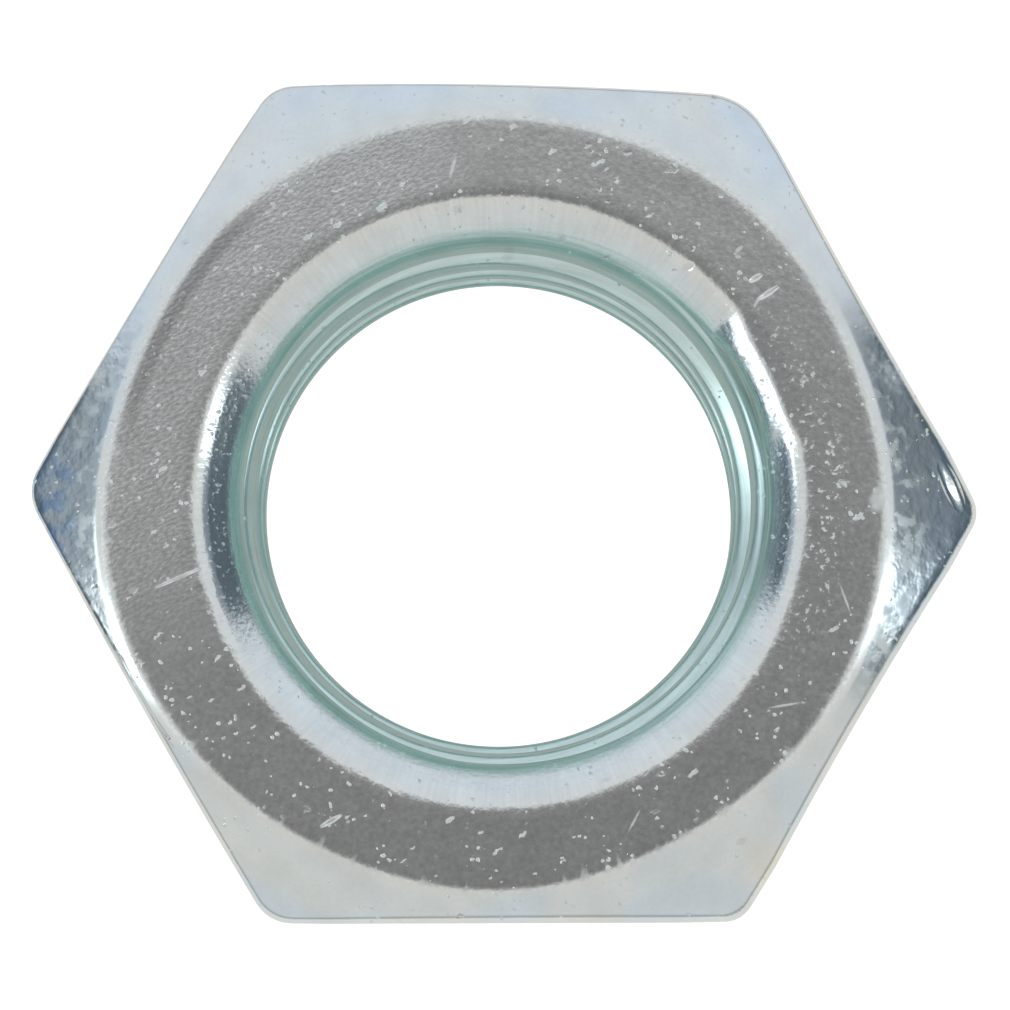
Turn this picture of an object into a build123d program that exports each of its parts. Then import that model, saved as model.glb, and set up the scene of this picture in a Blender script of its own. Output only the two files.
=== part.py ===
from build123d import *
from build123d.topology import SkipClean
from math import ceil, cos, radians, sin, sqrt, tan
import os

# Thin hexagon nut with a fine right-hand thread, in millimetres.
# The origin is the middle of the lower bearing face and +Z is the thread's axis.
# Two corners point along X and two flats face along Y.

# Hexagon
across_flats = 19.0
height = 6.0
corner_round = 0.6

# Bearing faces: a flat ring at each end, inside the chamfered corners
chamfer_reach = 0.9
chamfer_angle = 30.0
bearing_edge_round = 0.25

# Thread: its outer diameter is the floor of the groove
thread_diameter = 12.0
thread_pitch = 1.25
thread_angle = 60.0
thread_clearance = 0.265

# Where the groove runs out into the upper countersink
runout_angle = 50.0
runout_depth = 0.6

# Countersinks: the cone at each end of the hole and its roundings
countersink_margin = 0.8
countersink_angle = 100.0
countersink_edge_round = 0.15
mouth_round = 1.6

# The hexagon's sides, and the middle of the height, from which both sections are drawn
sides = 6
side_angle = 360 / sides
half_height = height / 2
middle = Plane.XZ.shift_origin((0, 0, half_height))

# The thread's profile: crests cut back from the sharp triangle, and a narrow flat floor
flank_slope = tan(radians(thread_angle / 2))
floor_radius = thread_diameter / 2
crest_radius = floor_radius - thread_pitch / flank_slope * 5 / 16 + thread_clearance / 2
floor_half_width = thread_pitch / 16

# The cone's rim, its fall from the bearing face, and its depth where it would meet the crests
rim_radius = floor_radius + countersink_margin
cone_fall = radians(90 - countersink_angle / 2)
cone_depth = (rim_radius - crest_radius) * tan(cone_fall)
cone_length = cone_depth / sin(cone_fall)

# The rim's rounding starts at the end of the cone and lies as far outside the rim
rim_tangent = countersink_edge_round * tan(cone_fall / 2)
cone_end = (rim_radius - rim_tangent * cos(cone_fall), half_height - rim_tangent * sin(cone_fall))

# The mouth's rounding takes no more than its share of the cone and of the bore
mouth_tangent = min(0.8 * cone_length, 0.9 * (half_height - cone_depth))
mouth_radius = min(mouth_round, mouth_tangent / tan(radians(countersink_angle / 4)))

# The bearing face's outer edge, and the chamfer's drop at a reach past the corners
bearing_radius = across_flats / 2 - chamfer_reach
blank_radius = across_flats / sqrt(3) + 1
chamfer_drop = (blank_radius - bearing_radius) * tan(radians(chamfer_angle))

# The hole as a solid over one side: the bore, a rounded mouth, the cone and its rounded rim.
# It stands out beyond the bearing faces, so that it cuts clean through them.
stand_out = 1.0
with BuildPart() as hole_side:
    with BuildSketch(middle) as hole_section:
        with BuildLine():
            wall = Polyline((0, 0), (crest_radius, 0), (crest_radius, half_height - cone_depth), cone_end)
            rim = TangentArc(wall @ 1, (rim_radius + rim_tangent, half_height), tangent=wall % 1)
            Polyline(
                rim @ 1,
                (rim_radius + rim_tangent, half_height + stand_out),
                (0, half_height + stand_out),
                (0, 0),
            )
        make_face()
        mouth_corner = hole_section.vertices().group_by(Axis.X)[1].sort_by(Axis.Y)[-1]
        fillet(mouth_corner, mouth_radius)
        mirror(about=Plane.XZ)
    revolve(axis=Axis.Z, revolution_arc=side_angle)

# Half a turn of the thread's groove, as a cutter that reaches inside the crests
cutter_radius = crest_radius - 0.2
cutter_half_width = floor_half_width + (floor_radius - cutter_radius) * flank_slope
half_pitch = thread_pitch / 2
with BuildPart() as half_turn:
    with BuildLine() as lead:
        Helix(thread_pitch, half_pitch, crest_radius)
    with BuildSketch(Plane.XZ) as groove_section:
        with BuildLine():
            Polyline(
                (cutter_radius, -cutter_half_width),
                (floor_radius, -floor_half_width),
                (floor_radius, floor_half_width),
                (cutter_radius, cutter_half_width),
                close=True,
            )
        make_face()
    sweep(path=lead.wire(), is_frenet=True)

# Half turns that the groove needs above and below its runout to leave both faces
turns_above = ceil((runout_depth + cutter_half_width) / half_pitch)
turns_below = ceil((height - runout_depth + cutter_half_width) / half_pitch)

with BuildPart() as hex_nut:
    # A turned blank with both chamfers, cut down to the hexagon
    with BuildSketch(middle) as blank_section:
        with BuildLine():
            Polyline(
                (0, 0),
                (blank_radius, 0),
                (blank_radius, half_height - chamfer_drop),
                (bearing_radius, half_height),
                (0, half_height),
                close=True,
            )
        make_face()
        bearing_corner = blank_section.vertices().group_by(Axis.X)[1]
        fillet(bearing_corner, bearing_edge_round)
        mirror(about=Plane.XZ)
    revolve(axis=Axis.Z)
    with BuildSketch(Plane.XY) as hexagon:
        RegularPolygon(across_flats / 2, sides, major_radius=False)
        fillet(hexagon.vertices(), corner_round)
    extrude(amount=height, mode=Mode.INTERSECT)

    # The hole, side by side, and then the groove, half turn by half turn.
    # The wall between the turns stays divided at the hexagon's corners.
    with SkipClean():
        for side in range(sides):
            add(hole_side.part, rotation=(0, 0, side * side_angle), mode=Mode.SUBTRACT)
        for turn in range(-turns_below, turns_above):
            rise = height - runout_depth + turn * half_pitch
            with Locations(Location((0, 0, rise), (0, 0, runout_angle + turn * 180))):
                add(half_turn.part, mode=Mode.SUBTRACT)

hex_nut.part.label = "hex_nut"

os.makedirs("parts", exist_ok=True)
export_step(hex_nut.part, "parts/hex_nut.step")
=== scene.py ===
# %% [markdown]
# A zinc plated nut, seen from above
#
# The object is one piece of steel: a thin hexagon nut, pressed to shape, tapped with a fine thread and
# then plated with bright zinc. The frame holds the true size and place of that piece. This script dresses
# it: it builds the same nut again with every edge rounded, gives it the plating's look, and lights it the
# way small hardware is photographed, on a bright table with a pale tent around it.

import math

import bmesh
import bpy
from mathutils import Matrix, Vector


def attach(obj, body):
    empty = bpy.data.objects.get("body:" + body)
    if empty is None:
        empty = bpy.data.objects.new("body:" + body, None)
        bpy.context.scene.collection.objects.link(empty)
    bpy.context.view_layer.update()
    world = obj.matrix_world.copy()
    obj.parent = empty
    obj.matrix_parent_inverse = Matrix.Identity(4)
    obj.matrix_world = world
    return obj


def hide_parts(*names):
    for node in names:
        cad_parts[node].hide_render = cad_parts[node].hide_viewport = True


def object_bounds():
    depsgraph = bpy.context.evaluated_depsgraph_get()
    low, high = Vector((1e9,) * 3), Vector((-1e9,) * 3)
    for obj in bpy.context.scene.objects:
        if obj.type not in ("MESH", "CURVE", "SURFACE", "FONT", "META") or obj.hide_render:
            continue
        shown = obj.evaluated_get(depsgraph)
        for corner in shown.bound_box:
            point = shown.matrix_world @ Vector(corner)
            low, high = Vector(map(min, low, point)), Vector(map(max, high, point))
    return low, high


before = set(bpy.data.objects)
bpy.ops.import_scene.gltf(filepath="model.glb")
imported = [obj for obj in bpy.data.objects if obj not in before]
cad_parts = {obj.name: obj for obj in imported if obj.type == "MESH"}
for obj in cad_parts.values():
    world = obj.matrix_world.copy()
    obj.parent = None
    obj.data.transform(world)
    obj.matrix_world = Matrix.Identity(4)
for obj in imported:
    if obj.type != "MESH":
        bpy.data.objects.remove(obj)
cad_low, cad_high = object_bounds()

mm = 0.001
height = cad_high.z
middle = height / 2
print("nut box", [round(side / mm, 2) for side in cad_high - cad_low], "mm")

# %% [markdown]
# The camera
#
# The nut was photographed from straight above with a close lens, leaning a few degrees, so that the far
# end of the hole shows a little lower than the near one. A camera is placed by three numbers here: how far
# it is from the upper face, how far it leans, and how many pixels a millimetre of that face should take.
# The lens follows from those. Aiming it by hand would tie all three together.

# %% A camera that leans towards the lower edge of the picture
picture_width = 1010
pixels_per_mm = 45.2
camera_distance = 63 * mm
camera_lean = math.radians(4.9)
camera_sway = math.radians(0.5)
camera_roll = math.radians(0.4)
camera_aim = Vector((0.018 * mm, -0.172 * mm, height))
sensor_width = 36.0

camera_data = bpy.data.cameras.new("camera")
camera = bpy.data.objects.new("camera", camera_data)
bpy.context.scene.collection.objects.link(camera)
bpy.context.scene.camera = camera

camera_data.sensor_width = sensor_width
camera_data.lens = pixels_per_mm * camera_distance / mm / picture_width * sensor_width
camera_data.clip_start = 5 * mm
camera_data.clip_end = 10.0
away = Vector((-math.sin(camera_sway), -math.sin(camera_lean), math.cos(camera_lean))).normalized()
camera.location = camera_aim + camera_distance * away
sideways = Vector((0, 1, 0)).cross(away).normalized()
camera.rotation_euler = Matrix((sideways, away.cross(sideways), away)).transposed().to_euler()
camera.rotation_euler.rotate_axis("Z", camera_roll)
print("lens", round(camera_data.lens, 1), "mm")

# %% [markdown]
# The thread
#
# A tapped thread is one groove that winds down the hole. It could be cut out of the nut with a boolean,
# but that leaves slivers where the groove runs out into the countersink, and its edges can't be rounded.
# Here the wall is wound instead: one pitch of its section is drawn as a line of a few points, subdivided,
# smoothed, and spun round the axis while it climbs by one pitch a turn. Each turn then meets the one below
# it, and the rows of the mesh follow the groove, so its edges stay clean all the way.

# %% The section of one pitch, from crest to crest, stacked past both faces
pitch = 1.25 * mm
crest_radius = 5.48 * mm
groove_radius = 6.03 * mm
groove_floor = pitch / 10
groove_mouth = groove_floor + (groove_radius - crest_radius) * math.tan(math.radians(30))

runout_angle = math.radians(50)
runout_depth = 0.5 * mm
pitches = math.ceil(height / pitch) + 2
first_groove = height - runout_depth - pitch * runout_angle / math.tau - (pitches - 2) * pitch
weld = 0.001 * mm

section_points = [
    (crest_radius, -pitch / 2),
    (crest_radius, -groove_mouth),
    (groove_radius, -groove_floor),
    (groove_radius, groove_floor),
    (crest_radius, groove_mouth),
    (crest_radius, pitch / 2),
]

section_cuts = [(0.4 * mm, 6), (0.12 * mm, 3)]

nut = bmesh.new()
turn_of = nut.verts.layers.float.new("turn")
corners = [nut.verts.new((radius, 0, first_groove + rise)) for radius, rise in section_points]
for lower, upper in zip(corners, corners[1:]):
    nut.edges.new((lower, upper))
for longest, cuts in section_cuts:
    stretches = [edge for edge in nut.edges if edge.calc_length() > longest]
    bmesh.ops.subdivide_edges(nut, edges=stretches, cuts=cuts)
inner_points = [vert for vert in nut.verts if len(vert.link_edges) == 2]
for softening in range(2):
    bmesh.ops.smooth_vert(nut, verts=inner_points, factor=0.5, use_axis_x=True)
print("thread section", len(nut.verts), "points")

section = nut.verts[:] + nut.edges[:]
for number in range(1, pitches):
    copy = bmesh.ops.duplicate(nut, geom=section)["geom"]
    raised = [item for item in copy if isinstance(item, bmesh.types.BMVert)]
    bmesh.ops.translate(nut, verts=raised, vec=(0, 0, number * pitch))
bmesh.ops.remove_doubles(nut, verts=nut.verts, dist=weld)

# %% The stack wound through a sixth of a turn, and six such sixths joined
columns = 522
sixth = math.tau / 6
bmesh.ops.spin(
    nut,
    geom=nut.verts[:] + nut.edges[:],
    cent=(0, 0, 0),
    axis=(0, 0, 1),
    dvec=(0, 0, pitch / columns),
    angle=sixth,
    steps=columns // 6,
    use_merge=False,
    use_duplicate=False,
)
wound_sixth = nut.verts[:] + nut.edges[:] + nut.faces[:]
for number in range(1, 6):
    copy = bmesh.ops.duplicate(nut, geom=wound_sixth)["geom"]
    wound = [item for item in copy if isinstance(item, bmesh.types.BMVert)]
    turned = Matrix.Rotation(number * sixth, 3, "Z")
    bmesh.ops.rotate(nut, verts=wound, cent=(0, 0, 0), matrix=turned)
    bmesh.ops.translate(nut, verts=wound, vec=(0, 0, number * pitch / 6))
bmesh.ops.remove_doubles(nut, verts=nut.verts, dist=weld)
print("wound wall", len(nut.faces), "faces")

# %% [markdown]
# The mouths of the hole
#
# Each end of the hole is countersunk: a cone that starts at the ring face's inner edge and rounds over into
# the bore. The end where the tap went in is also a little bell-mouthed, so its first crest stands back. The
# wall has one radius for each height there, so no cutter is needed. Every point of the wall that would stand
# inside the mouth is pushed out onto it, and what lies past the cone's end is laid onto one level and welded
# into a single loop of points.

# %% How wide the mouth is at a depth below the face
rim_radius = 6.685 * mm
cone_fall = math.radians(40)
mouth_blend = 0.5 * mm
bell_flare = 0.23 * mm
bell_top = 1.6 * mm
bell_end = 2.35 * mm


def soft_max(a, b, width):
    overlap = max(width - abs(a - b), 0) / width
    return max(a, b) + overlap**2 * width / 4


def mouth_radius(depth, side):
    share = min(max((bell_end - depth) / (bell_end - bell_top), 0), 1) if side > 0 else 0
    throat = crest_radius + bell_flare * share**2 * (3 - 2 * share)
    return soft_max(rim_radius - depth / math.tan(cone_fall), throat, mouth_blend)


# %% The wall pushed out onto the mouths
wall_depth = 0.3 * mm
blend = 0.03 * mm

for vert in nut.verts:
    angle = math.atan2(vert.co.y, vert.co.x) % math.tau
    radius = math.hypot(vert.co.x, vert.co.y)
    level = min(max(vert.co.z, wall_depth), height - wall_depth)
    side = 1 if level > middle else -1
    mouth = mouth_radius(height - level if side > 0 else level, side)
    radius = soft_max(radius, mouth, blend) if level == vert.co.z else mouth
    vert.co = (radius * math.cos(angle), radius * math.sin(angle), level)
    vert[turn_of] = angle
bmesh.ops.remove_doubles(nut, verts=nut.verts, dist=weld)
bmesh.ops.dissolve_degenerate(nut, edges=nut.edges, dist=weld / 10)
ends = [edge for edge in nut.edges if edge.is_boundary]
print("wall", len(nut.faces), "faces,", len(ends), "open edges at its two ends")

# %% [markdown]
# The hexagon
#
# A pressed nut is never a perfect hexagon. Its flats lie at slightly different distances, some are a
# little hollow, and no two corners are rounded alike. The outline is kept as a short list for each flat
# and each corner, and a function gives its radius in any direction: the nearest flat, or the corner's arc
# between two flats.

# %% The six flats and the six corners
flat_distances = [9.21, 9.40, 9.33, 9.24, 9.39, 9.28]
flat_turns = [-0.46, -0.5, -0.14, 0.09, 0.48, -0.45]
flat_hollows = [0.14, 0.03, 0.06, 0.0, 0.03, 0.13]
corner_rounds = [0.7, 1.5, 0.9, 1.05, 1.0, 0.7]
hollow_reach = 3.85 * mm


def flat_radius(flat, angle):
    direction = sixth * (flat + 0.5) + math.radians(flat_turns[flat])
    swing = (angle - direction + math.pi) % math.tau - math.pi
    distance = flat_distances[flat] * mm
    hollow = flat_hollows[flat] * mm * min((distance * math.tan(swing) / hollow_reach) ** 2, 1)
    return (distance + hollow) / math.cos(swing)


def outline_radius(angle):
    corner = round(angle / sixth) % 6
    before = flat_radius((corner - 1) % 6, angle)
    after = flat_radius(corner, angle)
    return -soft_max(-before, -after, corner_rounds[corner] * mm / math.sqrt(3))


print("across the corners", round((outline_radius(0) + outline_radius(math.pi)) / mm, 2), "mm")

# %% [markdown]
# From the mouth to the middle of the flats
#
# The rest of the nut grows out of the wall's end loop. The loop is extruded again and again, and each new
# loop is laid where the section says: up the cone, over the rounded rim, across the ring face, down the
# chamfer, round the edge and down the flat. The columns crowd together towards the corners on the way, so
# that even the sharpest corner gets several of them. Extruding keeps the whole skin in one piece, with no
# seams to hide.

# %% The two faces' rings and edges, with their slight wander
bore_shift = Vector((-0.10, -0.01)) * mm
bearing_radius = 8.71 * mm
ring_waves = [(1, 0.194, -175), (2, 0.03, 55), (3, 0.035, -83), (5, 0.05, -101), (8, 0.015, 30)]
chamfer_fall = math.radians(30)
rim_round = 0.75 * mm
bearing_round = 0.8 * mm
edge_round = 0.36 * mm
edge_lean = 0.62
edge_heading = math.radians(305)
crowding = 0.8


def crowded(angle, share):
    return angle - share * crowding * math.sin(6 * angle) / 6


def ring_edge(angle, side):
    radius = bearing_radius
    for waves, size, phase in ring_waves:
        radius += size * mm * math.cos(waves * angle - math.radians(phase + 70 * (side < 0)))
    return radius


def arc_point(radius, depth, bend, swing):
    return radius + bend * math.sin(swing), depth - bend * math.cos(swing)


# %% The loops of one end, as radius and depth below the face
def rim_loops(steps=4):
    tangent = rim_round * math.tan(cone_fall / 2)
    for step in range(steps + 1):
        swing = cone_fall * (1 - step / steps)
        yield lambda angle, side, swing=swing: (
            rim_radius + tangent - rim_round * math.sin(swing),
            rim_round * (1 - math.cos(swing)),
        )


def cone_loops(steps=3):
    end = rim_round * (1 - math.cos(cone_fall))
    for step in range(1, steps + 1):
        depth = wall_depth + (end - wall_depth) * step / (steps + 1)
        yield lambda angle, side, depth=depth: (mouth_radius(depth, side), depth)


def ring_loops(steps=8):
    inner = rim_radius + rim_round * math.tan(cone_fall / 2)
    for step in range(1, steps + 1):
        share = step / (steps + 1)

        def place(angle, side, share=share):
            outer = ring_edge(angle, side) - bearing_round * math.tan(chamfer_fall / 2)
            return inner + (outer - inner) * share, 0

        yield place


def bearing_loops(steps=5):
    for step in range(steps + 1):
        swing = chamfer_fall * step / steps

        def place(angle, side, swing=swing):
            start = ring_edge(angle, side) - bearing_round * math.tan(chamfer_fall / 2)
            return arc_point(start, bearing_round, bearing_round, swing)

        yield place


def edge_bend(angle):
    return edge_round * (1 + edge_lean * math.cos(angle - edge_heading))


def edge_centre(angle, side):
    bend = edge_bend(angle)
    run = outline_radius(angle) - bend * (1 - math.sin(chamfer_fall)) - ring_edge(angle, side)
    depth = run * math.tan(chamfer_fall) + bend * math.cos(chamfer_fall)
    return outline_radius(angle) - bend, depth


def chamfer_loops(steps=6):
    for step in range(1, steps + 1):
        share = step / (steps + 1)

        def place(angle, side, share=share):
            start = ring_edge(angle, side) - bearing_round * math.tan(chamfer_fall / 2)
            inner, top = arc_point(start, bearing_round, bearing_round, chamfer_fall)
            centre, low = edge_centre(angle, side)
            outer, bottom = arc_point(centre, low, edge_bend(angle), chamfer_fall)
            return inner + (outer - inner) * share, top + (bottom - top) * share

        yield place


def edge_loops(steps=5):
    for step in range(steps + 1):
        swing = chamfer_fall + (math.pi / 2 - chamfer_fall) * step / steps

        def place(angle, side, swing=swing):
            centre, low = edge_centre(angle, side)
            return arc_point(centre, low, edge_bend(angle), swing)

        yield place


def flat_loops(steps=4):
    for step in range(1, steps + 1):
        share = step / steps

        def place(angle, side, share=share):
            centre, low = edge_centre(angle, side)
            return outline_radius(angle), low + (middle - low) * share

        yield place


# %% The loops laid one after another, up to the middle of the flats
def lay_loop(edges, place, side, share):
    grown = bmesh.ops.extrude_edge_only(nut, edges=edges)["geom"]
    for vert in (item for item in grown if isinstance(item, bmesh.types.BMVert)):
        angle = crowded(vert[turn_of], share)
        radius, depth = place(angle, side)
        level = height - depth if side > 0 else depth
        vert.co = (radius * math.cos(angle), radius * math.sin(angle), level)
    return [item for item in grown if isinstance(item, bmesh.types.BMEdge)]


for side in (1, -1):
    loop = [edge for edge in ends if (edge.verts[0].co.z - middle) * side > 0]
    inner_places = [*cone_loops(), *rim_loops()]
    ring_places = list(ring_loops())
    outer_places = [*bearing_loops(), *chamfer_loops(), *edge_loops(), *flat_loops()]
    for place in inner_places:
        loop = lay_loop(loop, place, side, 0)
    for number, place in enumerate(ring_places, 1):
        loop = lay_loop(loop, place, side, number / len(ring_places))
    for place in outer_places:
        loop = lay_loop(loop, place, side, 1)
bmesh.ops.remove_doubles(nut, verts=nut.verts, dist=weld)
print("whole skin", len(nut.faces), "faces,", sum(edge.is_boundary for edge in nut.edges), "open edges")

# %% How far inside the ring's outer edge each point lies, for the finish
inside_edge = nut.verts.layers.float.new("inside_edge")
for vert in nut.verts:
    angle = math.atan2(vert.co.y, vert.co.x)
    side = 1 if vert.co.z > middle else -1
    vert[inside_edge] = (ring_edge(angle, side) - math.hypot(vert.co.x, vert.co.y)) / mm

# %% The hole set a little off the hexagon's middle, and the finished mesh
for vert in nut.verts:
    radius = math.hypot(vert.co.x, vert.co.y)
    reach = min(max((bearing_radius - radius) / (bearing_radius - rim_radius), 0), 1)
    vert.co.x += bore_shift.x * reach
    vert.co.y += bore_shift.y * reach
bmesh.ops.recalc_face_normals(nut, faces=nut.faces)
for face in nut.faces:
    face.smooth = True

nut_mesh = bpy.data.meshes.new("plated_nut")
nut.to_mesh(nut_mesh)
plated_nut = bpy.data.objects.new("plated_nut", nut_mesh)
bpy.context.scene.collection.objects.link(plated_nut)
nut_mesh.calc_loop_triangles()
volume = nut.calc_volume() / mm**3
print("plated nut", len(nut_mesh.loop_triangles), "triangles, volume", round(volume), "mm3")
nut.free()

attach(plated_nut, "root")
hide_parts("hex_nut")

# %% [markdown]
# The light
#
# Bright metal has hardly a look of its own: it shows what stands round it. So the light here is a tent,
# and not a few lamps, whose small reflections would leave the rest of the nut black. Its walls are pale,
# which gives the silky chamfers. Overhead it is dark, because that is where the camera and its hood would
# be, and the flat ring reflects exactly that. On the left and on the right the walls stand open, which gives
# the dark corners and the dark pieces of the countersink, and a lamp hangs above each opening.
#
# The tent could be built from panels, but it is only ever seen as a direction. So it is painted on the
# world with colour ramps, which are quick to look up: one ramp goes once round the horizon and says which
# headings an opening or a lamp takes, one goes from the horizon to the top and says which heights, and the
# two multiplied give a patch of sky.

# %% Short ways to place nodes
def towards(azimuth):
    return (math.cos(math.radians(azimuth)), math.sin(math.radians(azimuth)), 0)


def place_node(tree, kind, inputs, **settings):
    node = tree.nodes.new(kind)
    for name, value in settings.items():
        setattr(node, name, value)
    for socket, value in inputs.items():
        if isinstance(value, bpy.types.NodeSocket):
            tree.links.new(value, node.inputs[socket])
        else:
            node.inputs[socket].default_value = value
    return node


def compute(tree, operation, first, second=0.0):
    return place_node(tree, "ShaderNodeMath", {0: first, 1: second}, operation=operation).outputs[0]


def smooth_step(tree, value, low, high):
    sockets = {"Value": value, "From Min": low, "From Max": high}
    node = place_node(tree, "ShaderNodeMapRange", sockets, interpolation_type="SMOOTHSTEP")
    return node.outputs["Result"]


def compute_vector(tree, operation, first, second=(0.0, 0.0, 0.0), scale=1.0):
    sockets = {0: first, 1: second, 3: scale}
    node = place_node(tree, "ShaderNodeVectorMath", sockets, operation=operation)
    return node.outputs["Value" if operation in ("LENGTH", "DOT_PRODUCT") else "Vector"]


def mix_colours(tree, factor, first, second, blend_type="MIX"):
    sockets = {0: factor, 6: first, 7: second}
    node = place_node(tree, "ShaderNodeMix", sockets, data_type="RGBA", blend_type=blend_type)
    return node.outputs[2]


# %% Ramps: one round the horizon, one up the sky
def ramp_node(tree, factor, stops):
    node = place_node(tree, "ShaderNodeValToRGB", {"Fac": factor})
    steps = node.color_ramp.elements
    for number, (position, values) in enumerate(sorted(stops)):
        step = steps[number] if number < 2 else steps.new(position)
        step.position = position
        step.color = values
    return node


def band(value, low, high, softness):
    inside_by = min(value - low, high - value)
    return min(max(0.5 + inside_by / softness / 2, 0), 1)


def around(value, centre, half_width, softness):
    off = abs((value - centre + 180) % 360 - 180)
    return band(off, -half_width, half_width, softness)


# %% Openings and lamps, as heading and height in degrees
headings = [
    [(180.5, 25.5), (4.5, 26)],
    [(195.5, 7), (352.5, 5)],
    [(189, 12)],
    [(349.8, 2.9)],
]
heading_softness = 2.5
heights = [(-9, 35), (25, 60), (32, 38), (21.6, 30)]
height_softness = [3, 3, 2.5, 0.8]


def heading_cover(value):
    return [max(around(value, *patch, heading_softness) for patch in patches) for patches in headings]


def height_cover(value):
    return [band(value, *reach, softness) for reach, softness in zip(heights, height_softness)]


def sine(degrees):
    return math.sin(math.radians(degrees))


heading_stops = {0, 360}
for centre, half_width in sum(headings, []):
    for edge in (centre - half_width, centre + half_width):
        heading_stops |= {(edge - heading_softness) % 360, (edge + heading_softness) % 360}
height_stops = {0, 90}
for (low, high), softness in zip(heights, height_softness):
    height_stops |= {low - softness, low + softness, high - softness, high + softness}
height_stops = {stop for stop in height_stops if 0 <= stop <= 90}

# %% The tent as a function of direction
world = bpy.data.worlds.new("tent")
bpy.context.scene.world = world
world.use_nodes = True
tent = world.node_tree
direction = place_node(tent, "ShaderNodeTexCoord", {}).outputs["Generated"]
sky = place_node(tent, "ShaderNodeSeparateXYZ", {"Vector": direction}).outputs
heading = compute(tent, "DIVIDE", compute(tent, "ARCTAN2", sky["Y"], sky["X"]), math.tau)
heading = compute(tent, "FRACT", heading)

patch_headings = ramp_node(tent, heading, [(stop / 360, heading_cover(stop)) for stop in heading_stops])
patch_heights = ramp_node(tent, sky["Z"], [(sine(stop), height_cover(stop)) for stop in height_stops])
patches = compute_vector(tent, "MULTIPLY", patch_headings.outputs["Color"], patch_heights.outputs["Color"])
patches = place_node(tent, "ShaderNodeSeparateXYZ", {"Vector": patches}).outputs
low_lamp = compute(tent, "MULTIPLY", patch_headings.outputs["Alpha"], patch_heights.outputs["Alpha"])
lamps = compute(tent, "MAXIMUM", compute(tent, "MAXIMUM", patches["Y"], patches["Z"]), low_lamp)

# %% Walls, dark overhead, openings and lamps
horizon_colour = (0.33, 0.31, 0.31, 0)
low_wall_colour = (0.768, 0.72, 0.748, 0)
cool_wall_colour = (0.775, 0.735, 0.80, 0)
high_wall_colour = (0.80, 0.72, 0.73, 0)
overhead_colour = (0.30, 0.262, 0.268, 1)
opening_colour = (0.103, 0.126, 0.156, 1)
left_haze_colour = (0.40, 0.42, 0.49, 1)
right_haze_colour = (0.26, 0.27, 0.315, 1)
lamp_colour = (2.6, 2.6, 2.7, 1)
cool_tint = (1.03, 1.055, 1.09, 1)
warm_tint = (0.97, 0.945, 0.91, 1)
behind_colour = (0.93, 0.94, 0.95, 1)

# The dark overhead is a little lighter towards the top of the picture
overhead_slant = (-0.3, 1.15, 0)
overhead_middle = 0.88
overhead_least = 0.76

wall_stops = [
    (0.0, horizon_colour),
    (sine(8), low_wall_colour),
    (sine(15), cool_wall_colour),
    (sine(24), low_wall_colour),
    (sine(30), low_wall_colour),
    (sine(54), high_wall_colour),
    (sine(68.5), high_wall_colour),
    (sine(79), high_wall_colour[:3] + (1,)),
]
walls = ramp_node(tent, sky["Z"], wall_stops)
tint = mix_colours(tent, smooth_step(tent, sky["Y"], -0.6, 0.6), warm_tint, cool_tint)
light = mix_colours(tent, 1.0, walls.outputs["Color"], tint, "MULTIPLY")
slant = compute_vector(tent, "DOT_PRODUCT", direction, overhead_slant)
overhead_level = compute(tent, "ADD", slant, overhead_middle)
overhead_level = compute(tent, "MAXIMUM", overhead_level, overhead_least)
overhead = compute_vector(tent, "SCALE", overhead_colour[:3], scale=overhead_level)
light = mix_colours(tent, walls.outputs["Alpha"], light, overhead)
haze = mix_colours(tent, compute(tent, "LESS_THAN", sky["X"], 0.0), right_haze_colour, left_haze_colour)
haze_height = smooth_step(tent, sky["Z"], sine(15), sine(23))
opened = mix_colours(tent, haze_height, opening_colour, haze)
light = mix_colours(tent, patches["X"], light, opened)
light = mix_colours(tent, lamps, light, lamp_colour)
seen_directly = place_node(tent, "ShaderNodeLightPath", {}).outputs["Is Camera Ray"]
light = mix_colours(tent, seen_directly, light, behind_colour)
tent.links.new(light, tent.nodes["Background"].inputs["Color"])
bpy.context.scene.view_settings.view_transform = "Standard"
print("tent with", len(tent.nodes), "nodes,", len(heading_stops), "headings,", len(height_stops), "heights")

# %% [markdown]
# The table
#
# The nut lay on a lit, white table, and the picture was exposed until that table burnt out. So the sheet
# glows by itself, with painted light: pure white where the camera sees it, and dimmer colours where the nut
# mirrors it. Close to the nut its glow is painted dim, a painted shade in place of the nut's own shade, then
# it is bright, and farther off it is painted dark. The thin pale strip along the lower edges of the nut is
# this table, seen in the rounded edge.

# %% The glowing table, with a painted shade close to the nut and painted dark far off
table_reach_low = 6 * mm
table_reach_lit = 10 * mm
table_reach_dim = 30 * mm
table_reach_end = 60 * mm
table_size = 0.6
table_mesh = bpy.data.meshes.new("table")
table = bpy.data.objects.new("table", table_mesh)
bpy.context.scene.collection.objects.link(table)
sheet = bmesh.new()
bmesh.ops.create_grid(sheet, x_segments=1, y_segments=1, size=table_size)
sheet.to_mesh(table_mesh)
sheet.free()
white = bpy.data.materials.new("glowing_table")
white.use_nodes = True
glow_shader = white.node_tree.nodes["Principled BSDF"]
glow_shader.inputs["Base Color"].default_value = (0.05, 0.05, 0.05, 1)
sheet_tree = white.node_tree
table_place = place_node(sheet_tree, "ShaderNodeTexCoord", {}).outputs["Object"]
table_reach = compute_vector(sheet_tree, "LENGTH", table_place)
open_table = smooth_step(sheet_tree, table_reach, table_reach_low, table_reach_lit)
near_table = smooth_step(sheet_tree, table_reach, table_reach_end, table_reach_dim)
table_seen = place_node(sheet_tree, "ShaderNodeLightPath", {}).outputs["Is Camera Ray"]
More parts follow.
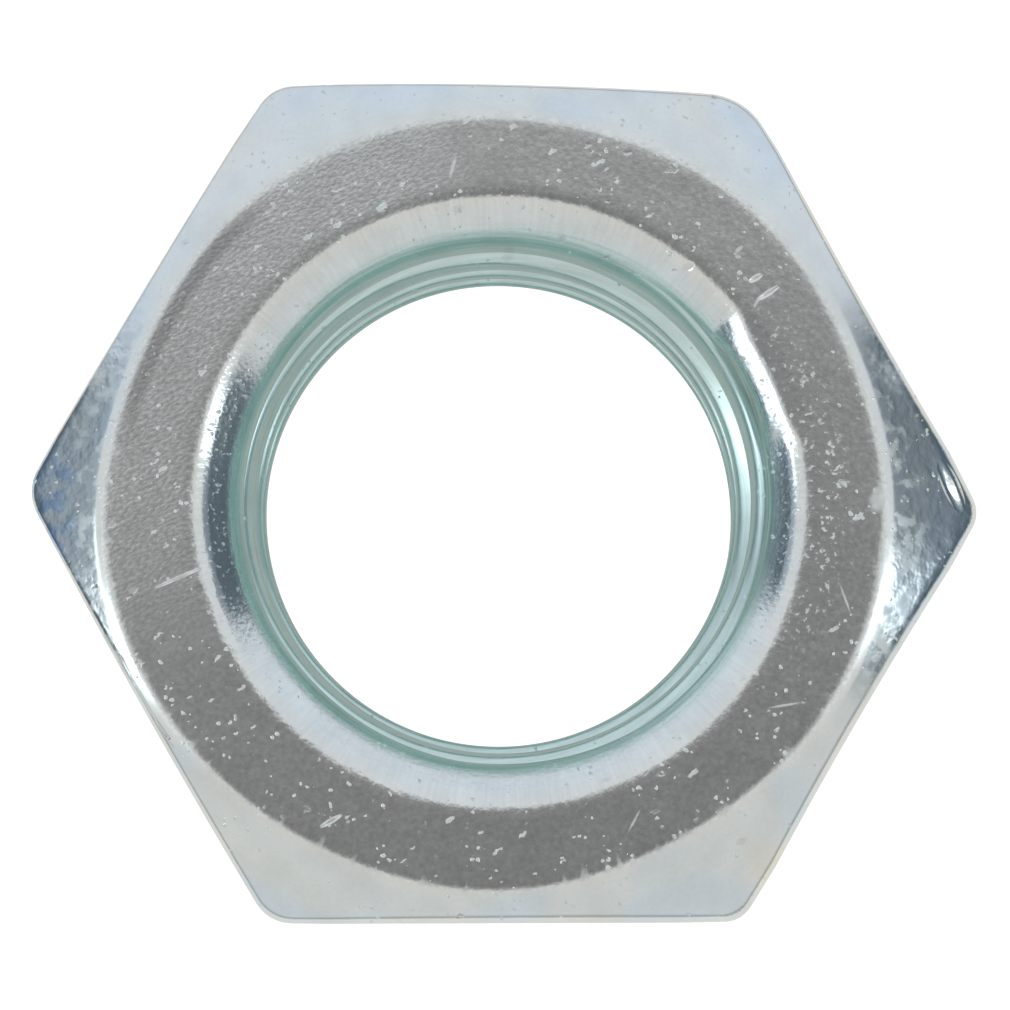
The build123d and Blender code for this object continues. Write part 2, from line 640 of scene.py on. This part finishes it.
# Painted light in the sheet's glow: a painted shade close to the nut, bright in the open, painted dark far
# off
shaded_colour = (0.42, 0.407, 0.395, 1)
open_colour = (0.80, 0.72, 0.69, 1)
far_colour = (0.34, 0.32, 0.32, 1)
burnt_out_colour = (1.1, 1.1, 1.1, 1)
table_light = mix_colours(sheet_tree, near_table, far_colour, open_colour)
table_light = mix_colours(sheet_tree, open_table, shaded_colour, table_light)
table_light = mix_colours(sheet_tree, table_seen, table_light, burnt_out_colour)
glow_shader.inputs["Emission Strength"].default_value = 1.0
sheet_tree.links.new(table_light, glow_shader.inputs["Emission Color"])
table_mesh.materials.append(white)

# %% [markdown]
# The finish: four patterns to build from
#
# Bright zinc is thin, so the steel's own surface shows through it: the grain of the pressed face, small
# nicks from falling into a crate with other nuts, and a few long scratches. Each of these is one small
# pattern with names for what can change, kept as a node group. The material then lays them where the real
# surface has them.

# %% A group with named inputs and one output
def new_group(name, labels, output):
    group = bpy.data.node_groups.new(name, "ShaderNodeTree")
    for label, value in labels.items():
        kind = "NodeSocketVector" if isinstance(value, tuple) else "NodeSocketFloat"
        group.interface.new_socket(label, in_out="INPUT", socket_type=kind).default_value = value
    group.interface.new_socket(output, in_out="OUTPUT", socket_type="NodeSocketFloat")
    entry = group.nodes.new("NodeGroupInput")
    return group, entry.outputs, group.nodes.new("NodeGroupOutput").inputs[output]


def laid(tree, place, turn, reach, centre=(0.0, 0.0, 0.0)):
    sockets = {"Vector": place, "Location": centre, "Rotation": turn, "Scale": reach}
    return place_node(tree, "ShaderNodeMapping", sockets, vector_type="TEXTURE").outputs[0]


# %% Grain: soft unevenness, drawn out along one direction
nowhere = (0.0, 0.0, 0.0)
grain_inputs = {"Place": nowhere, "Turn": nowhere, "Reach": (1.0, 1.0, 1.0), "Detail": 2.0}
grain, entry, grain_out = new_group("grain", grain_inputs, "Height")
spread = laid(grain, entry["Place"], entry["Turn"], entry["Reach"])
wavy = place_node(grain, "ShaderNodeTexNoise", {"Vector": spread, "Scale": 1.0, "Detail": entry["Detail"]})
grain.links.new(compute(grain, "SUBTRACT", wavy.outputs[0], 0.5), grain_out)

# %% Marks: one dot or dash in some of the cells
mark_inputs = {"Place": nowhere, "Turn": nowhere, "Reach": (1.0, 1.0, 1.0), "Share": 0.2, "Size": 0.45}
marks, entry, marks_out = new_group("marks", mark_inputs, "Mark")
spread = laid(marks, entry["Place"], entry["Turn"], entry["Reach"])
cells = place_node(marks, "ShaderNodeTexVoronoi", {"Vector": spread, "Scale": 1.0}, voronoi_dimensions="2D")
chance = place_node(marks, "ShaderNodeSeparateColor", {"Color": cells.outputs["Color"]})
mark_size = compute(marks, "SUBTRACT", entry["Share"], chance.outputs["Red"])
mark_size = compute(marks, "MULTIPLY", mark_size, compute(marks, "DIVIDE", entry["Size"], entry["Share"]))
cover = compute(marks, "SUBTRACT", mark_size, cells.outputs["Distance"])
cover = compute(marks, "MULTIPLY", cover, 5.0)
cover.node.use_clamp = True
marks.links.new(cover, marks_out)

# %% Scratch: one line of a given place, direction, length and width
scratch_inputs = {"Place": nowhere, "Centre": nowhere, "Turn": nowhere, "Reach": (1.0, 1.0, 99.0)}
scratch, entry, scratch_out = new_group("scratch", scratch_inputs, "Mark")
spread = laid(scratch, entry["Place"], entry["Turn"], entry["Reach"], entry["Centre"])
off_centre = compute_vector(scratch, "LENGTH", spread)
cover = compute(scratch, "MULTIPLY_ADD", off_centre, -1.8)
cover.node.inputs[2].default_value = 1.8
cover.node.use_clamp = True
scratch.links.new(cover, scratch_out)

# %% Teeth: an uneven border, that reaches as far in as a noise round the axis says
teeth_inputs = {"Place": nowhere, "Inside": 0.0, "Length": 0.3, "Fineness": 60.0}
teeth, entry, teeth_out = new_group("teeth", teeth_inputs, "Mark")
level_place = compute_vector(teeth, "MULTIPLY", entry["Place"], (1, 1, 0))
round_axis = compute_vector(teeth, "NORMALIZE", level_place)
comb_inputs = {"Vector": round_axis, "Scale": entry["Fineness"], "Detail": 2.0}
comb = place_node(teeth, "ShaderNodeTexNoise", comb_inputs)
tooth = compute(teeth, "MULTIPLY", smooth_step(teeth, comb.outputs[0], 0.45, 0.8), entry["Length"])
reached = compute(teeth, "DIVIDE", entry["Inside"], compute(teeth, "ADD", tooth, 0.02))
shown = compute(teeth, "MAXIMUM", compute(teeth, "SUBTRACT", 1.0, reached), 0.0)
teeth.links.new(compute(teeth, "MINIMUM", shown, 1.0), teeth_out)
print("groups", [group.name for group in bpy.data.node_groups])

# %% [markdown]
# The zinc
#
# The patterns go mostly into the height of the surface, because that is what they are: a nick tips a bit
# of the face towards the tent and lights up. A rubbed spot is rougher: it spreads its reflection beyond the
# dark overhead and turns light grey. Only the dirt, the passivation's faint rainbow and a painted shade
# along part of the ring's outer border are colours.
#
# Where a mark lies is said by masks. They come from the place of a point alone, from its distance to the
# axis, its depth below the nearer face and its distance inside the ring's uneven edge, which the mesh
# carries as an attribute.

# %% Where a point is on the nut, in millimetres
zinc = bpy.data.materials.new("zinc_plate")
zinc.use_nodes = True
plate = zinc.node_tree
shader = plate.nodes["Principled BSDF"]
nut_mesh.materials.append(zinc)

object_place = place_node(plate, "ShaderNodeTexCoord", {}).outputs["Object"]
place = compute_vector(plate, "SCALE", object_place, scale=1 / mm)
parts = place_node(plate, "ShaderNodeSeparateXYZ", {"Vector": place}).outputs
level_place = compute_vector(plate, "MULTIPLY", place, (1, 1, 0))
radius = compute_vector(plate, "LENGTH", level_place)
round_axis = compute_vector(plate, "NORMALIZE", level_place)
off_middle = compute(plate, "ABSOLUTE", compute(plate, "SUBTRACT", parts["Z"], middle / mm))
depth = compute(plate, "SUBTRACT", middle / mm, off_middle)
inside = place_node(plate, "ShaderNodeAttribute", {}, attribute_name="inside_edge").outputs["Fac"]


def both(*masks):
    product = masks[0]
    for mask in masks[1:]:
        product = compute(plate, "MULTIPLY", product, mask)
    return product


def facing(azimuth, near, far):
    alike = compute_vector(plate, "DOT_PRODUCT", round_axis, towards(azimuth))
    return smooth_step(plate, alike, math.cos(math.radians(far)), math.cos(math.radians(near)))


# %% Masks for the sides of the nut, soft at their borders
upper = compute(plate, "GREATER_THAN", parts["Z"], middle / mm)
on_face = both(smooth_step(plate, depth, 0.03, 0.004), smooth_step(plate, radius, 6.6, 6.9))
in_hole = smooth_step(plate, radius, 6.3, 6.0)
on_cone = both(smooth_step(plate, radius, 7.05, 6.95), smooth_step(plate, radius, 5.9, 6.1))
on_chamfer = both(smooth_step(plate, inside, 0.0, -0.2), smooth_step(plate, depth, 1.3, 0.9))
on_flat = both(smooth_step(plate, depth, 0.9, 1.3), smooth_step(plate, radius, 8.0, 9.0))
left_half = facing(150, 35, 65)

# %% The patterns in their places
def flat_turn(degrees):
    return (0, 0, math.radians(degrees))


def pattern(group, **inputs):
    return place_node(plate, "ShaderNodeGroup", {"Place": place, **inputs}, node_tree=group).outputs[0]


def shifted(start, offset):
    return compute_vector(plate, "ADD", start, offset)


def stretched(vector, amount):
    return compute_vector(plate, "SCALE", vector, scale=amount)


soft_grain = pattern(grain, Reach=(0.8, 0.8, 0.8), Detail=1.0)
fine_grain = pattern(grain, Reach=(0.11, 0.11, 0.11), Detail=1.0)
ragged_place = shifted(place, stretched((0.11, -0.10, 0.0), fine_grain))
slanted_grain = pattern(grain, Turn=flat_turn(27), Reach=(0.12, 0.075, 0.2), Detail=2.0)
drawn_grain = pattern(grain, Reach=(0.07, 0.07, 1.6), Detail=1.0)
bright_dots = pattern(marks, Place=ragged_place, Reach=(0.13, 0.12, 0.12), Share=0.16)
big_dots = pattern(marks, Place=ragged_place, Turn=flat_turn(20), Reach=(0.40, 0.24, 0.34), Share=0.03)
nicks = pattern(marks, Place=ragged_place, Turn=flat_turn(40), Reach=(0.34, 0.13, 0.3), Share=0.03)
edge_teeth = pattern(teeth, Inside=inside, Length=0.55, Fineness=30.0)


def wound(turns, climb):
    rise = compute_vector(plate, "MULTIPLY", place, (0.0, 0.0, climb))
    return shifted(stretched(round_axis, turns), rise)


spokes = pattern(grain, Place=wound(6.0, 0.22), Reach=(0.075, 0.075, 0.12), Detail=1.0)
tool_lines = pattern(grain, Place=wound(1.0, 1.0), Reach=(0.5, 0.5, 0.06), Detail=2.0)

# %% The scratches that can be told apart, as centre, direction, half length and half width
deep_scratches = [
    (-7.18, -1.84, 24, 0.58, 0.045),
    (5.57, 4.95, 30, 0.18, 0.07),
    (5.86, 4.62, 34, 0.30, 0.065),
    (-3.75, -7.15, 30, 0.28, 0.06),
]
light_scratches = [
    (5.60, 4.42, 62, 0.20, 0.05),
    (5.20, 5.60, 40, 0.14, 0.06),
    (6.2, -4.55, 10, 0.45, 0.035),
    (2.9, -7.1, 62, 0.35, 0.035),
    (7.55, -2.2, -70, 0.40, 0.035),
    (-1.2, 7.4, 75, 0.30, 0.05),
    (8.27, 0.02, 80, 0.36, 0.22),
]


def scratched(lines):
    mark = 0.0
    for x, y, turn, half_length, half_width in lines:
        reach = (half_length, half_width, 99.0)
        line = pattern(scratch, Centre=(x, y, 0), Turn=flat_turn(turn), Reach=reach)
        mark = compute(plate, "MAXIMUM", line, mark)
    return both(mark, upper)


deep_marks = scratched(deep_scratches)
light_marks = scratched(light_scratches)

# %% A dent near the right tip that turns its floor to the lamp, and a low swelling of the cone
tip_place = (10.06, 0.40, 0.0)
tip_rise = (0.22, 0.11, 0.0)
tip_shape = pattern(scratch, Centre=tip_place, Turn=flat_turn(-64), Reach=(0.66, 0.22, 99.0))
tip_offset = shifted(place, (-tip_place[0], -tip_place[1], 0.0))
tip_dent = both(tip_shape, compute_vector(plate, "DOT_PRODUCT", tip_offset, tip_rise), upper)
swelling_sides = both(smooth_step(plate, radius, 6.85, 6.15), smooth_step(plate, radius, 5.8, 6.15))
swelling = both(facing(25, 4, 15), swelling_sides, upper)

# %% Terms added up, each with its own weight
def add_up(*terms):
    total = 0.0
    for value, weight in terms:
        node = place_node(plate, "ShaderNodeMath", {0: value, 1: weight, 2: total}, operation="MULTIPLY_ADD")
        total = node.outputs[0]
    return total


# %% Height, in millimetres
face_grain = mix_colours(plate, left_half, compute(plate, "MULTIPLY", fine_grain, 0.45), slanted_grain)
level_part = compute(plate, "SUBTRACT", 1.0, on_flat)
dots = both(bright_dots, smooth_step(plate, soft_grain, -0.06, 0.12), level_part)
off_axis = compute(plate, "ABSOLUTE", parts["X"])
near_corners = both(on_chamfer, smooth_step(plate, off_axis, 7.7, 8.5))
corner_dents = pattern(grain, Reach=(0.34, 0.34, 0.34), Detail=2.0)
near_rim = both(smooth_step(plate, radius, 7.25, 7.05), smooth_step(plate, radius, 6.55, 6.75))
ragged_rim = both(facing(222, 22, 40), near_rim)
height_mm = add_up(
    (soft_grain, 0.007),
    (both(on_face, face_grain), 0.006),
    (both(in_hole, tool_lines), 0.005),
    (both(ragged_rim, corner_dents), 0.018),
    (both(near_corners, corner_dents), 0.011),
    (tip_dent, 1.0),
    (swelling, 0.12),
    (both(on_flat, drawn_grain), 0.008),
    (both(on_cone, fine_grain), 0.004),
    (dots, 0.007),
    (both(big_dots, level_part), -0.005),
    (both(on_face, nicks), -0.006),
    (deep_marks, -0.02),
)
bump = place_node(plate, "ShaderNodeBump", {"Height": height_mm, "Distance": mm, "Strength": 1.0})
plate.links.new(bump.outputs["Normal"], shader.inputs["Normal"])

# %% Roughness: the plate is bright, its rubbed places are not
bright_roughness = 0.15
rough_limit = 0.8
beside_ring = smooth_step(plate, inside, -1.3, -0.3)
frost = both(near_corners, smooth_step(plate, corner_dents, -0.08, 0.2), beside_ring)
cone_middle = both(smooth_step(plate, radius, 6.75, 6.6), smooth_step(plate, radius, 6.1, 6.3))
cone_sides = both(smooth_step(plate, off_axis, 4.8, 5.6), cone_middle, on_cone)
ring_side = both(on_face, facing(5, 12, 40), smooth_step(plate, radius, 7.9, 7.2))
specked = compute(plate, "MAXIMUM", cone_sides, ring_side)
specks = both(specked, smooth_step(plate, fine_grain, 0.11, 0.22))
rubbed = add_up(
    (both(on_face, left_half), 0.08),
    (both(on_face, edge_teeth), 0.28),
    (frost, 0.3),
    (specks, 0.35),
    (dots, 0.6),
    (both(on_face, nicks), 0.5),
    (both(on_face, big_dots), 0.12),
    (both(on_face, deep_marks), 0.2),
    (light_marks, 0.3),
    (both(on_face, face_grain), 0.12),
    (in_hole, 0.14),
)
roughness = compute(plate, "MINIMUM", compute(plate, "ADD", rubbed, bright_roughness), rough_limit)
plate.links.new(roughness, shader.inputs["Roughness"])

# %% Colour: zinc, its faint rainbow, the dirt in the pits, and a painted shade on the ring's upper left border
zinc_colour = (0.72, 0.83, 0.81, 1)
blue_film = (0.68, 0.82, 0.85, 1)
yellow_film = (0.77, 0.84, 0.76, 1)
green_film = (0.61, 0.82, 0.79, 1)
deep_blue = (0.46, 0.64, 0.80, 1)
# The dark colour of the dirt in the pits, used also for the painted shade along the ring's border
dirt_and_shade_colour = (0.25, 0.27, 0.27, 1)
film = pattern(grain, Reach=(1.7, 1.7, 1.7), Detail=0.0)
bare = compute(plate, "MAXIMUM", compute(plate, "MAXIMUM", on_face, in_hole), both(on_cone, 0.75))
off_face = compute(plate, "SUBTRACT", 1.0, bare)
outward = smooth_step(plate, inside, -0.3, -1.6)
filmed = both(off_face, compute(plate, "SUBTRACT", 1.0, both(on_flat, 0.6)))
bluish = smooth_step(plate, add_up((film, 1.0), (outward, 0.2)), 0.02, 0.3)
yellowish = both(outward, smooth_step(plate, film, -0.1, -0.3))
colour = mix_colours(plate, both(filmed, bluish), zinc_colour, blue_film)
colour = mix_colours(plate, both(filmed, yellowish), colour, yellow_film)
colour = mix_colours(plate, in_hole, colour, green_film)
cloud = add_up(
    (soft_grain, 0.18),
    (fine_grain, 0.08),
    (both(on_face, face_grain), 0.65),
    (both(on_cone, spokes), 0.16),
    (both(in_hole, tool_lines), 0.5),
)
colour = mix_colours(plate, 1.0, colour, compute(plate, "ADD", cloud, 1.0), "MULTIPLY")
left_tip = both(facing(181, 3, 9), smooth_step(plate, radius, 9.3, 9.8), on_chamfer)
stained_tip = both(left_tip, smooth_step(plate, corner_dents, -0.08, 0.1))
colour = mix_colours(plate, stained_tip, colour, deep_blue)
# Painted shade: the ring's outer border darkened on the upper left, mixed in with the dirt in the pits
border = both(smooth_step(plate, inside, 0.1, 0.25), smooth_step(plate, inside, 0.65, 0.4))
painted_shade_border = both(facing(150, 10, 24), border, on_face)
pit_dirt_and_painted_shade = compute(plate, "MAXIMUM", both(big_dots, 0.15), both(painted_shade_border, 0.5))
colour = mix_colours(plate, pit_dirt_and_painted_shade, colour, dirt_and_shade_colour)
plate.links.new(colour, shader.inputs["Base Color"])
shader.inputs["Metallic"].default_value = 1.0
print("zinc with", len(plate.nodes), "nodes")
